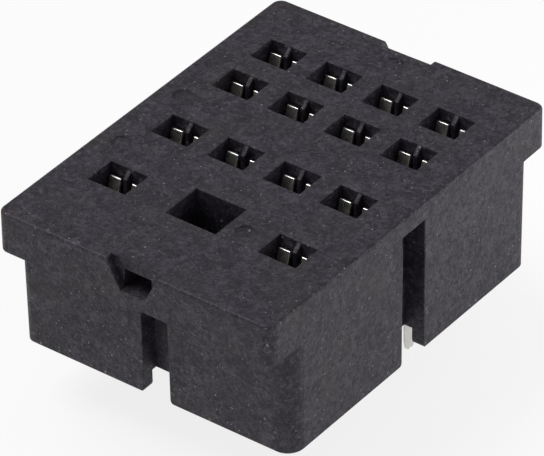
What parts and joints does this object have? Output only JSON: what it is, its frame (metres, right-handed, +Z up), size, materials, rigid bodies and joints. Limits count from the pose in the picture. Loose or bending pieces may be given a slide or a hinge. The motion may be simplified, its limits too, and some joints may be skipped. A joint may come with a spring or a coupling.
{
  "type": "relay socket",
  "caption": "Board-mount socket for a plug-in relay: a black moulded housing with contact openings in rows, stamped spring contacts inside and solder pins below.",
  "frame": {"origin": "level with the tips of the solder pins, under the middle of the flange", "axes": "+X along a row of four contacts, +Y from the coil contacts towards the first row, +Z up out of the circuit board"},
  "size_m": [0.0212, 0.0292, 0.0152],
  "materials": {
    "housing": "matte glass-filled black plastic with pale flecks",
    "contact": "tinned copper alloy, satin"
  },
  "bodies": {
    "root": {"housing": "housing", "contact_1": "contact", "contact_2": "contact", "contact_3": "contact", "contact_4": "contact", "contact_5": "contact", "contact_6": "contact", "contact_7": "contact", "contact_8": "contact", "contact_9": "contact", "contact_10": "contact", "contact_11": "contact", "contact_12": "contact", "contact_13": "contact", "contact_14": "contact"}
  },
  "joints": []
}
